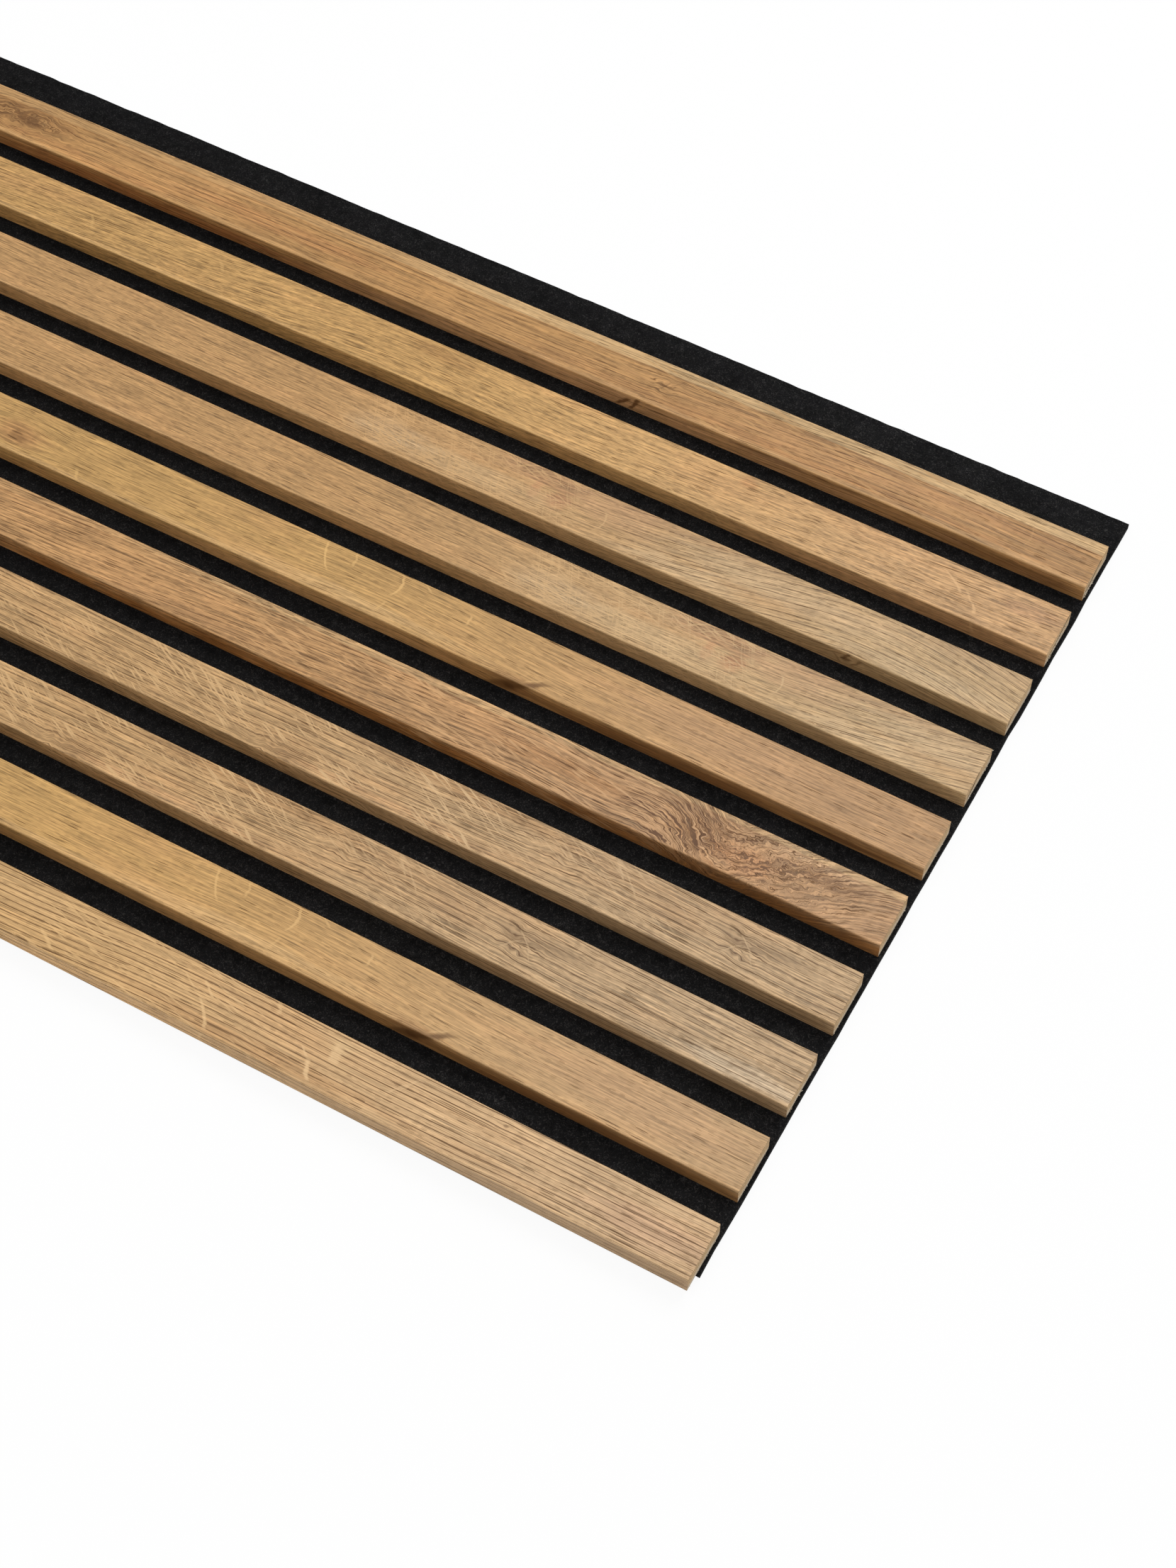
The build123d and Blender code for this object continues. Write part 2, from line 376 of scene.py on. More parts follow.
def oak(number):
    """Oak decor foil for one slat: a log's growth rings, pores, rays and knots as the saw cuts them."""
    name, start, edge_highlight, shade, side_shade_near, side_shade_far = SLATS[number]
    look = PRINTS[name]
    s = Shader(f"oak_foil_{number:02d}")
    seed = 61.7 * (1 + sorted(PRINTS).index(name))
    from_end, v = s.split(s.node("ShaderNodeUVMap", uv_map="grain").outputs[0])[:2]
    u = s.add(from_end, float(start))
    here = s.sub(s.math("FLOORED_MODULO", s.add(u, 150.0), REPEAT), 150.0)

    made = {}

    def field(length, width, shift=0.0, across=v, **more):
        """Noise stretched along the grain: its length and width in millimetres."""
        key = (length, width, shift, across.node.name, tuple(sorted(more.items())))
        if key not in made:
            place = s.point(s.mul(u, 1 / length), s.mul(across, 1 / width), seed + shift)
            made[key] = s.noise(place, **more)
        return made[key]

    spot = s.point(here, v)

    def near(at_u, at_v, reach_u, reach_v):
        """1 at a place on the print, fading round it."""
        inputs = {0: spot, 1: (1 / reach_u, 1 / reach_v, 0), 2: (-at_u / reach_u, -at_v / reach_v, 0)}
        off = s.node("ShaderNodeVectorMath", inputs, operation="MULTIPLY_ADD").outputs[0]
        squared = s.node("ShaderNodeVectorMath", {0: off, 1: off}, operation="DOT_PRODUCT")
        return s.math("POWER", math.exp(-1), squared.outputs["Value"])

    def stain_and_shade(stain):
        return s.mix(1.0, tone, stain, "MULTIPLY")

    def dashes(length, width, across, size, shift=0.0):
        """Dashes along the grain: how dark each point is, and a random value for each dash."""
        place = s.point(s.plus(u, 1 / length, seed + shift), s.mul(across, 1 / width))
        distance, chance, depth = s.cells(place)
        shape = s.ease(distance, size * 0.7, size, 1.0, 0.0)
        return s.mul(shape, s.add(s.mul(depth, 0.65), 0.35)), chance

    # The grain wanders, and bends round the knots
    bent = s.plus(field(330, 60, 1, detail=1.0), float(look["sway"]), s.plus(u, look["tilt"], v))
    bent = s.plus(field(52, 18, 2, detail=1.0), look["sway"] * 0.2, bent)
    for at, reach, height in look["bends"]:
        along = s.math("POWER", s.mul(s.sub(here, float(at)), 1 / reach), 2.0)
        bent = s.plus(s.math("EXPONENT", s.mul(along, -1.0)), -height, bent)
    dark_spots = 0.0
    for at_u, at_v, reach, bend, darkness in look.get("knots", []):
        close = near(at_u, at_v, reach * 2.2, reach)
        bent = s.sub(bent, s.mul(s.mul(s.sub(v, float(at_v)), bend), close))
        core = near(at_u, at_v, reach * 0.9, reach * 0.55)
        dark = s.ease(s.add(core, s.mul(field(5, 1.2, 9, detail=3.0), 1.1)), 0.45, 0.95, 0.0, darkness)
        dark_spots = s.math("MAXIMUM", dark_spots, dark)

    for at_u, at_v, reach_u, reach_v, size, amount in look.get("curls", []):
        curl = field(size, size * 0.6, 27, detail=2.0)
        bent = s.plus(s.mul(near(at_u, at_v, reach_u, reach_v), curl), float(amount), bent)

    # Growth rings of the log round its pith
    pith_v, pith_depth, sinking = look["pith"]
    depth = s.add(s.plus(u, sinking, float(pith_depth)), s.mul(field(140, 200, 3, detail=1.0), 9.0))
    side = s.sub(bent, float(pith_v))
    radius = s.math("SQRT", s.add(s.mul(side, side), s.mul(depth, depth)))
    ring = s.mul(radius, 1 / look["ring"])
    phase = s.math("FRACT", ring)
    vary = s.node("ShaderNodeTexWhiteNoise", {"W": s.add(s.math("FLOOR", ring), seed)},
                  noise_dimensions="1D").outputs[0]
    early = s.mul(s.ease(phase, look["early"] * 0.3, look["early"], 1.0, 0.0), s.ease(phase, 0.0, 0.03))
    line_strength, wide, dash, shown = look["lines"]
    line = s.mul(s.ease(phase, wide * 0.5, wide, 1.0, 0.0), s.ease(phase, 0.0, wide * 0.25))

    # The wood between the pores: slow blotches, growth tones and fine fibres
    # Near the visible end the tone also carries a painted sheen
    tone = s.mix(s.ease(from_end, 20.0, 320.0), srgb(*look["end_tone"]), srgb(*look["tone"]))
    # Painted light near the visible end of some slats
    if number in END_LIGHT_TINTS:
        painted_end_light = stain_and_shade(END_LIGHT_TINTS[number])
        tone = s.mix(s.ease(from_end, 0.0, 240.0, 1.0, 0.0), tone, painted_end_light)
    blotch = field(70, 14, 4, detail=3.0)
    slow = field(300, 60, 5, detail=1.0)
    long, wide, fibre_strength, streak_strength = look["texture"][:4]
    tiny_share, short_share, long_share, groove_share, speckle_strength = look["texture"][4:]
    fibres = field(long, wide, 6, bent, detail=2.0, roughness=0.5)
    streaks = field(110, 1.5, 7, bent, detail=2.0)
    light = s.plus(blotch, 0.34, s.plus(slow, 0.26, 1.04 * shade))
    light = s.plus(fibres, fibre_strength, light)
    light = s.plus(streaks, streak_strength, light)
    light = s.plus(field(3.0, 0.8, 30, bent, detail=1.0), speckle_strength, light)
    colour = s.scaled(tone, s.mul(light, s.ease(early, 0.0, 1.0, 1.02, 0.96)))
    colour = s.mix(s.ease(blotch, -0.02, 0.22, 0.0, 0.30), colour, s.scaled(srgb(*WARM), light))
    for at_u, at_v, reach_u, reach_v, patch, strength in look["patches"]:
        ragged = s.plus(field(18, 3, 10, bent, detail=3.0), 1.0, near(at_u, at_v, reach_u, reach_v))
        spread = s.ease(ragged, 0.15, 0.85, 0.0, strength)
        colour = s.mix(spread, colour, s.scaled(srgb(*patch), light))

    # Dark lines where each year starts, stronger in some years
    strength = s.mul(s.mul(line, s.plus(vary, 0.7, 0.45)), line_strength)
    gate = 0.28 * (0.5 - shown)
    strength = s.mul(strength, s.ease(field(dash, 1.6, 8, bent), gate - 0.04, gate + 0.04))
    if "line_window" in look:
        low, high = look["line_window"]
        strength = s.mul(strength, s.mul(s.ease(here, low - 20.0, low + 20.0),
                                         s.ease(here, high - 20.0, high + 30.0, 1.0, 0.15)))
    strength = s.math("MINIMUM", strength, 0.95)
    colour = s.mix(strength, colour, stain_and_shade(YEAR_LINE))

    # The side beside a heart can be paler near the slat's edge
    if "edge" in look:
        edge_v, pale = look["edge"]
        offset = s.sub(s.plus(field(150, 400, 24, detail=2.0), 6.0, v), edge_v)
        paler = s.mul(s.ease(offset, -0.6, 0.6, 1.0, 0.0), s.ease(v, -14.0, -13.2))
        paler = s.mul(paler, s.ease(field(130, 60, 25, detail=1.0), -0.12, 0.06))
        colour = s.mix(s.mul(paler, pale), colour, s.scaled(srgb(*NEAR_EDGE_WOOD), light))

    # A pale band along the far edge, with a dark line where it starts
    if "band" in look:
        edge_v, pale = look["band"]
        offset = s.sub(s.plus(field(160, 400, 10, detail=1.0), 7.0, v), edge_v)
        band = s.mul(s.ease(offset, 0.0, 0.9, 0.0, pale), s.ease(v, 11.0, 15.0, 1.0, 0.3))
        band = s.mul(band, s.ease(here, 280.0, 380.0, 1.0, 0.3))
        colour = s.mix(band, colour, s.scaled(srgb(*BAND_WOOD), light))
        edge = s.mul(s.ease(offset, -0.7, -0.1), s.ease(offset, -0.1, 0.5, 1.0, 0.0))
        colour = s.mix(s.mul(edge, 0.45), colour, stain_and_shade(BAND_EDGE))

    for at_u, at_v, reach_u, reach_v, strength in look.get("feather", []):
        thread = field(9, 0.55, 21, bent, detail=1.5)
        ragged = s.plus(field(12, 4, 22), 0.9, near(at_u, at_v, reach_u, reach_v))
        spread = s.ease(ragged, 0.2, 0.7, 0.0, strength)
        dark = s.mul(s.ease(thread, 0.02, 0.10), spread)
        colour = s.mix(dark, colour, stain_and_shade(THREAD))
        bright = s.mul(s.ease(thread, -0.14, -0.06, 0.6, 0.0), spread)
        colour = s.mix(bright, colour, stain_and_shade(THREAD_GAP))

    # Pores: short dashes crowded into the early wood, longer ones, and long grooves
    tiny, chance = dashes(4.5, 0.44, bent, 0.36, 3)
    tiny = s.mul(tiny, s.math("LESS_THAN", chance, tiny_share))
    short, chance = dashes(10, 0.50, bent, 0.34)
    share = s.plus(early, 0.8 * short_share, 0.2 * short_share)
    short = s.mul(short, s.math("LESS_THAN", chance, share))
    long, chance = dashes(25, 0.70, bent, 0.25, 5)
    share = s.plus(early, 0.8 * long_share, 0.2 * long_share)
    long = s.mul(long, s.math("LESS_THAN", chance, share))
    groove, chance = dashes(85, 0.95, s.plus(field(90, 5, 12, detail=1.0), 2.5, bent), 0.20, 9)
    share = s.plus(early, 0.55 * groove_share, 0.25 * groove_share)
    groove = s.mul(groove, s.math("LESS_THAN", chance, share))
    groove = s.mul(groove, s.ease(field(14, 1.6, 13, bent), -0.18, -0.04))
    pores = s.math("MAXIMUM", s.math("MAXIMUM", short, long), groove, clamp=True)
    pores = s.math("MAXIMUM", pores, s.mul(tiny, 0.42), clamp=True)
    pores = s.mul(pores, s.ease(from_end, 0.6, 2.2, 0.25, 1.0))
    colour = s.mix(s.mul(pores, 0.95), colour, stain_and_shade(PORE))

    # Pale rays: single ones that cross the grain, and groups of fine ones
    pale = s.scaled(stain_and_shade(RAY), s.plus(fibres, 0.4, 1.0))
    deep = stain_and_shade(MARK)
    wobbly = s.plus(field(3, 2.0, 14, detail=2.0), -2.2, here)
    powers = s.point(1.0, v, s.mul(v, v))
    for at_u, at_v, length, lean, bow, width, strength in look.get("arcs", []):
        curve = (at_u - lean * at_v + bow * at_v * at_v, lean - 2 * bow * at_v, bow)
        centre = s.node("ShaderNodeVectorMath", {0: powers, 1: curve}, operation="DOT_PRODUCT")
        off = s.math("ABSOLUTE", s.sub(wobbly, centre.outputs["Value"]))
        past = s.math("ABSOLUTE", s.sub(v, float(at_v)))
        ends = s.ease(past, length * 0.3, length * 0.55, abs(strength), 0.0)
        arc = s.mul(s.ease(off, width * 0.3, width * (1 + abs(lean)) ** 0.5, 1.0, 0.0), ends)
        colour = s.mix(arc, colour, pale if strength > 0 else deep)
    for start_u, end_u, degrees, strength in look.get("rays", []):
        turn = math.radians(degrees)
        along = s.add(s.mul(u, math.cos(turn)), s.mul(v, math.sin(turn)))
        across = s.sub(s.mul(v, math.cos(turn)), s.mul(u, math.sin(turn)))
        across = s.plus(field(30, 12, 15, detail=1.0), 3.0, across)
        place = s.point(s.mul(along, 1 / 15), s.mul(across, 1 / 0.95), seed + degrees)
        fine = s.ease(s.noise(place, detail=1.0), 0.07, 0.14)
        window = s.ease(here, start_u - 8.0, start_u + 14.0)
        window = s.mul(window, s.ease(here, end_u - 14.0, end_u + 8.0, 1.0, 0.0))
        window = s.mul(window, s.ease(field(24, 9, 16, detail=1.0), -0.12, 0.04))
        colour = s.mix(s.mul(s.mul(fine, window), strength * 0.9), colour, pale)

    # Fine pale scribbles in patches
    if "scribble" in look:
        curl = s.math("ABSOLUTE", field(7, 2.4, 17, detail=2.0, distortion=0.8))
        patch = s.ease(field(70, 24, 18, detail=1.0), -0.02, 0.12)
        scribble = s.mul(s.ease(curl, 0.008, 0.04, 1.0, 0.0), patch)
        colour = s.mix(s.mul(scribble, look["scribble"] * 0.5), colour, pale)

    # Painted shade on the near side: browner towards the visible end, and lighter or darker by each
    # slat's factors, for the shade and bounced light between the slats
    on_side = s.ease(v, -14.2, -13.2, 1.0, 0.0)
    painted_side_shade = s.mul(on_side, s.ease(from_end, 0.0, 330.0, 1.0, 0.0))
    colour = s.mix(s.mul(painted_side_shade, 0.30), colour, stain_and_shade(SIDE_SHADE_BROWN))
    painted_side_shade = s.mul(on_side, s.ease(from_end, 0.0, 330.0, side_shade_near - 1, side_shade_far - 1))
    colour = s.scaled(colour, s.add(painted_side_shade, 1.0))

    # A painted highlight: the foil is paler along the slat's near rounded edge, where the light catches
    # it
    painted_edge_highlight = s.mul(s.ease(v, -13.4, -12.9), s.ease(v, -12.6, -11.7, 1.0, 0.0))
    painted_edge_highlight = s.mul(painted_edge_highlight, s.ease(field(45, 30, 23, detail=2.0), -0.25, 0.1, 0.35, 1.0))
    colour = s.mix(s.mul(painted_edge_highlight, edge_highlight), colour, pale)

    colour = s.mix(dark_spots, colour, stain_and_shade(KNOT))
    roughness = s.ease(pores, 0.0, 1.0, 0.44, 0.75)
    height = s.sub(s.mul(fibres, 0.35), pores)
    return s.finish(colour, roughness, height, 0.09 * MM, Specular_IOR_Level=0.3)


def board():
    """Raw fibreboard: brown near its top, paler and greyer below, with painted shade in and beside its
    tears.
    """
    s = Shader("pale_board")
    place = s.place()
    along, across, height = s.split(place)
    grains = s.noise(place, detail=4.0, roughness=0.7, scale=1400.0)
    clouds = s.noise(place, detail=3.0, scale=230.0)
    low = s.ease(s.plus(clouds, 6.0 * MM, height), 5.0 * MM, 7.5 * MM, 1.0, 0.0)
    light = s.plus(clouds, 0.34, s.plus(grains, 0.65, 1.0))
    colour = s.mix(s.ease(grains, -0.2, 0.2), srgb(180, 147, 106), srgb(208, 177, 134))
    colour = s.scaled(s.mix(s.mul(low, 0.7), colour, srgb(214, 201, 180)), light)

    # Painted shade: the tears are dark inside
    end_x = SLAT_LENGTH / 2
    torn = s.ease(along, end_x - 3.2 * MM, end_x - 2.8 * MM)
    inside = s.mul(s.ease(along, end_x - 0.12 * MM, end_x - 0.02 * MM, 1.0, 0.0), torn)
    inside = s.mul(inside, s.ease(height, FELT_THICKNESS + 0.05 * MM, FELT_THICKNESS + 0.2 * MM))
    colour = s.mix(inside, colour, srgb(46, 36, 27))

    # Painted shadow: the board is dark beside the tears too
    for number, (start, end, drop) in TEARS.items():
        start_y = slat_y(number) + SLAT_WIDTH / 2 - start * MM
        end_y = slat_y(number) + SLAT_WIDTH / 2 - end * MM
        top_z = FELT_THICKNESS + SLAT_HEIGHT - FOIL
        slope = drop * MM / (start_y - end_y)
        line = s.plus(across, slope, s.sub(top_z - slope * start_y - 0.5 * MM, height))
        off = s.math("ABSOLUTE", s.plus(clouds, 1.6 * MM, line))
        dark = s.mul(s.ease(off, 0.5 * MM, 1.0 * MM, 1.0, 0.0), s.ease(across, end_y - 0.8 * MM, end_y))
        dark = s.mul(dark, s.ease(across, start_y, start_y + 0.8 * MM, 1.0, 0.0))
        dark = s.mul(dark, torn)
        colour = s.mix(s.mul(dark, 0.8), colour, srgb(64, 50, 38))
    return s.finish(colour, s.plus(clouds, 0.1, 0.85), Specular_IOR_Level=0.2)


def loose_look(name, dark, pale, detail, scale, roughness):
    """The matt look of slivers or loose fibres, each somewhere between two colours."""
    s = Shader(name)
    shade = s.noise(s.place(), detail=detail, scale=scale)
    colour = s.mix(s.ease(shade, -0.2, 0.2), srgb(*dark), srgb(*pale))
    return s.finish(colour, s.plus(shade, 0.1, roughness), Specular_IOR_Level=0.2)


def felt_look():
    """Black needle felt: matt, with soft tufts and fine lighter fibres."""
    s = Shader("black_felt")
    place = s.place()
    tufts = s.noise(place, detail=4.0, roughness=0.75, scale=260.0)
    clouds = s.noise(place, detail=1.0, scale=45.0)
    thread = s.math("ABSOLUTE", s.noise(place, detail=2.0, distortion=1.5, scale=520.0))
    thread = s.ease(thread, 0.006, 0.035, 1.0, 0.0)
    dust = s.ease(s.noise(place, detail=2.0, scale=1300.0), 0.15, 0.26)
    colour = s.mix(s.mul(thread, 0.40), srgb(21, 21, 22), srgb(80, 78, 77))
    colour = s.mix(s.mul(dust, 0.45), colour, srgb(88, 86, 84))

    # Painted light: it is a little paler towards the visible end
    paler = s.ease(s.split(place)[0], FELT_LENGTH / 2 - PAINTED_LIGHT_LENGTH, FELT_LENGTH / 2, 0.66, 0.95)
    colour = s.scaled(colour, s.mul(paler, s.plus(tufts, 2.6, s.plus(clouds, 0.8, 1.05))))
    height = s.plus(thread, 0.4, tufts)
    return s.finish(colour, s.plus(tufts, 0.1, 0.95), height, 0.22 * MM, Specular_IOR_Level=0.1)


def new_piece(name, points, faces, material):
    """A mesh piece that rides on the panel."""
    mesh = bpy.data.meshes.new(name)
    mesh.from_pydata(points, [], faces)
    mesh.update()
    mesh.materials.append(material)
    piece = bpy.data.objects.new(name, mesh)
    bpy.context.scene.collection.objects.link(piece)
    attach(piece, "root")
    return piece


def add_uv(piece, name, values):
    """A texture map with a place for each corner of each face."""
    layer = piece.data.uv_layers.new(name=name)
    layer.data.foreach_set("uv", np.array(values, np.float32).ravel())


def foil_section():
    """The wrap from the -Y foot over the top to the +Y foot: outer (y, z), inner (y, z) and v."""
    outer, inner, across = [], [], []

    def put(y, z, out_y, out_z, v):
        outer.append((y, z))
        inner.append((y - out_y * FOIL, z - out_z * FOIL))
        across.append(v)

    side_steps, arc_steps, top_steps = 8, 7, 56
    for i in range(side_steps):
        z = SIDE * i / side_steps
        put(-SLAT_WIDTH / 2, z, -1, 0, -(TOP_HALF + ARC + SIDE - z))
    for i in range(arc_steps):
        angle = math.pi / 2 * i / arc_steps
        out_y, out_z = -math.cos(angle), math.sin(angle)
        put(-TOP_HALF + EDGE_RADIUS * out_y, SIDE + EDGE_RADIUS * out_z, out_y, out_z,
            -(TOP_HALF + ARC - EDGE_RADIUS * angle))
    for i in range(top_steps):
        y = -TOP_HALF + 2 * TOP_HALF * i / top_steps
        put(y, SLAT_HEIGHT, 0, 1, y)
    for i in range(arc_steps):
        angle = math.pi / 2 * i / arc_steps
        out_y, out_z = math.sin(angle), math.cos(angle)
        put(TOP_HALF + EDGE_RADIUS * out_y, SIDE + EDGE_RADIUS * out_z, out_y, out_z,
            TOP_HALF + EDGE_RADIUS * angle)
    for i in range(side_steps + 1):
        z = SIDE * (1 - i / side_steps)
        put(SLAT_WIDTH / 2, z, 1, 0, TOP_HALF + ARC + SIDE - z)
    return outer, inner, across


# How a foil's texture is laid out for baking: its length in this many strips, one above the other,
# and over them its inside, its two feet and its two ends
STRIPS = 8
STRIP_HEIGHT = 0.116
STRIP_STEP = 0.119
MARGIN = 0.004
INSIDE = (0.959, 0.012)
FEET = ((0.9745, 0.9755), (0.9765, 0.9775))
ENDS = (0.981, 0.995)
END_WIDTH = 0.48


def foil_stations():
    """Places along a slat where the wrap has a row of points: close at both ends."""
    half = SLAT_LENGTH / 2
    near = [0, 0.25 * MM, 0.8 * MM, 2 * MM, 6 * MM, 20 * MM, 60 * MM]
    strip = SLAT_LENGTH / STRIPS
    places = {round(half - d, 7) for d in near} | {round(-half + d, 7) for d in near}
    places |= {round(-half + strip * i / 2, 7) for i in range(2 * STRIPS + 1)}
    return sorted(places)


def make_foil(number):
    """One slat's wrap, with a slightly ragged cut at both ends."""
    outer, inner, across = foil_section()
    count = len(outer)
    stations = foil_stations()
    half = SLAT_LENGTH / 2
    points = []
    for x in stations:
        for ring in (outer, inner):
            for i, (y, z) in enumerate(ring):
                place = Vector((across[i] * 900, number * 7.7, math.copysign(3, x)))
                rag = abs(noise.noise(place)) * 0.22 * MM
                fade = max(0.0, 1 - (half - abs(x)) / (0.8 * MM))
                points.append((x - math.copysign(rag * fade, x), slat_y(number) + y,
                               FELT_THICKNESS + z))
    total = across[-1] - across[0]
    faces, grain, bake = [], [], []

    def face(corners, grain_uv, bake_uv):
        faces.append(corners)
        grain.extend(grain_uv)
        bake.extend(bake_uv)

    def at(row, column, inside):
        return row * 2 * count + inside * count + column

    for row in range(len(stations) - 1):
        x0, x1 = stations[row], stations[row + 1]
        strip = min(STRIPS - 1, int(((x0 + x1) / 2 + half) / SLAT_LENGTH * STRIPS))
        part = [((x + half) / SLAT_LENGTH * STRIPS - strip) for x in (x0, x1)]
        b0, b1 = (MARGIN + p * (1 - 2 * MARGIN) for p in part)
        w0, w1 = (MARGIN + (x + half) / SLAT_LENGTH * (1 - 2 * MARGIN) for x in (x0, x1))
        u0, u1 = (half - x0) / MM, (half - x1) / MM
        for i in range(count - 1):
            v0, v1 = across[i] / MM, across[i + 1] / MM
            h0, h1 = ((a - across[0]) / total for a in (across[i], across[i + 1]))
            base = MARGIN + STRIP_STEP * strip
            face((at(row, i, 0), at(row + 1, i, 0), at(row + 1, i + 1, 0), at(row, i + 1, 0)),
                 [(u0, v0), (u1, v0), (u1, v1), (u0, v1)],
                 [(b0, base + STRIP_HEIGHT * h0), (b1, base + STRIP_HEIGHT * h0),
                  (b1, base + STRIP_HEIGHT * h1), (b0, base + STRIP_HEIGHT * h1)])
            low, high = (INSIDE[0] + INSIDE[1] * h for h in (h0, h1))
            face((at(row, i + 1, 1), at(row + 1, i + 1, 1), at(row + 1, i, 1), at(row, i, 1)),
                 [(u0, v1), (u1, v1), (u1, v0), (u0, v0)],
                 [(w0, high), (w1, high), (w1, low), (w0, low)])
        for column, (low, high) in zip((0, count - 1), FEET):
            corners = [at(row, column, 0), at(row, column, 1),
                       at(row + 1, column, 1), at(row + 1, column, 0)]
            place = [(w0, low), (w0, high), (w1, high), (w1, low)]
            v0 = across[column] / MM
            wood = [(u0, v0), (u0, v0), (u1, v0), (u1, v0)]
            if column:
                corners, place, wood = corners[::-1], place[::-1], wood[::-1]
            face(corners, wood, place)
    for row, left in ((0, MARGIN), (len(stations) - 1, 0.51)):
        for i in range(count - 1):
            h0, h1 = ((a - across[0]) / total for a in (across[i], across[i + 1]))
            corners = [at(row, i, 0), at(row, i + 1, 0), at(row, i + 1, 1), at(row, i, 1)]
            x0, x1 = (left + END_WIDTH * h for h in (h0, h1))
            place = [(x0, ENDS[0]), (x1, ENDS[0]), (x1, ENDS[1]), (x0, ENDS[1])]
            u = (half - stations[row]) / MM
            v0, v1 = across[i] / MM, across[i + 1] / MM
            wood = [(u, v0), (u, v1), (u + 0.3, v1), (u + 0.3, v0)]
            if row:
                corners, place, wood = corners[::-1], place[::-1], wood[::-1]
            face(corners, wood, place)
    piece = new_piece(f"oak_wrap_{number:02d}", points, faces, oak(number))
    add_uv(piece, "OFBake", bake)
    add_uv(piece, "grain", grain)
    for polygon in piece.data.polygons:
        polygon.use_smooth = True
    piece.data.set_sharp_from_angle(angle=math.radians(40))
    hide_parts(f"slat_foil_{number:02d}")


def make_felt():
    """The felt sheet, with a slightly wavy knife cut round it."""
    xs = np.linspace(-FELT_LENGTH / 2, FELT_LENGTH / 2, 1081)
    ys = np.linspace(-FELT_WIDTH / 2, FELT_WIDTH / 2, 36) + FELT_CENTRE_Y

    def wave(a, b):
        slow = noise.noise(Vector((a * 45, b * 3, 0.3)))
        return (0.30 * slow + 0.30 * noise.noise(Vector((a * 160, b, 7.1)))) * MM

    points, faces, bake = [], [], []
    for z in (FELT_THICKNESS, 0.0):
        for i, x in enumerate(xs):
            for j, y in enumerate(ys):
                px, py = x, y
                if i in (0, len(xs) - 1):
                    px += wave(y, 5 + z) + math.copysign(0.25 * MM, x)
                if j in (0, len(ys) - 1):
                    py += wave(x, 9 + z) + math.copysign(0.25 * MM, y - FELT_CENTRE_Y)
                points.append((px, py, z))
    columns = len(ys)
    under = len(xs) * columns
    margin = 0.005

    def lay(i, j, part, below):
        """A point's place in the baked picture: the sheet in three lengths, its back beside them."""
        length = (xs[i] + FELT_LENGTH / 2) / FELT_LENGTH
        height = (ys[j] - FELT_CENTRE_Y) / FELT_WIDTH + 0.5
        return (margin + (length * 3 - part) * 0.98,
                margin + (part + 3 * below + height * 0.97) * 0.158)

    for i in range(len(xs) - 1):
        part = min(2, int(i * 3 / (len(xs) - 1)))
        for j in range(columns - 1):
            top = [(i, j), (i + 1, j), (i + 1, j + 1), (i, j + 1)]
            for below in (0, 1):
                ring = top[::-1] if below else top
                faces.append([a * columns + b + under * below for a, b in ring])
                bake.extend(lay(a, b, part, below) for a, b in ring)
    sides = [
        [(i, 0) for i in range(len(xs))],
        [(len(xs) - 1, j) for j in range(columns)],
        [(i, columns - 1) for i in reversed(range(len(xs)))],
        [(0, j) for j in reversed(range(columns))],
    ]
    for number, side in enumerate(sides):
        low = 0.955 + number * 0.010
        for k in range(len(side) - 1):
            a, b = (i * columns + j for i, j in side[k:k + 2])
            faces.append([a, a + under, b + under, b])
            left, right = (margin + 0.98 * (k + n) / (len(side) - 1) for n in (0, 1))
            bake.extend([(left, low + 0.008), (left, low), (right, low), (right, low + 0.008)])
    felt = new_piece("felt", points, faces, felt_look())
    add_uv(felt, "OFBake", bake)
    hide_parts("felt_backing")
    return felt


# How many loose fibres stand out along the felt's long and short edges, and lie on its bare strips
LONG_EDGE_FIBRES = 3200
SHORT_EDGE_FIBRES = 1500
LYING_FIBRES = 5200


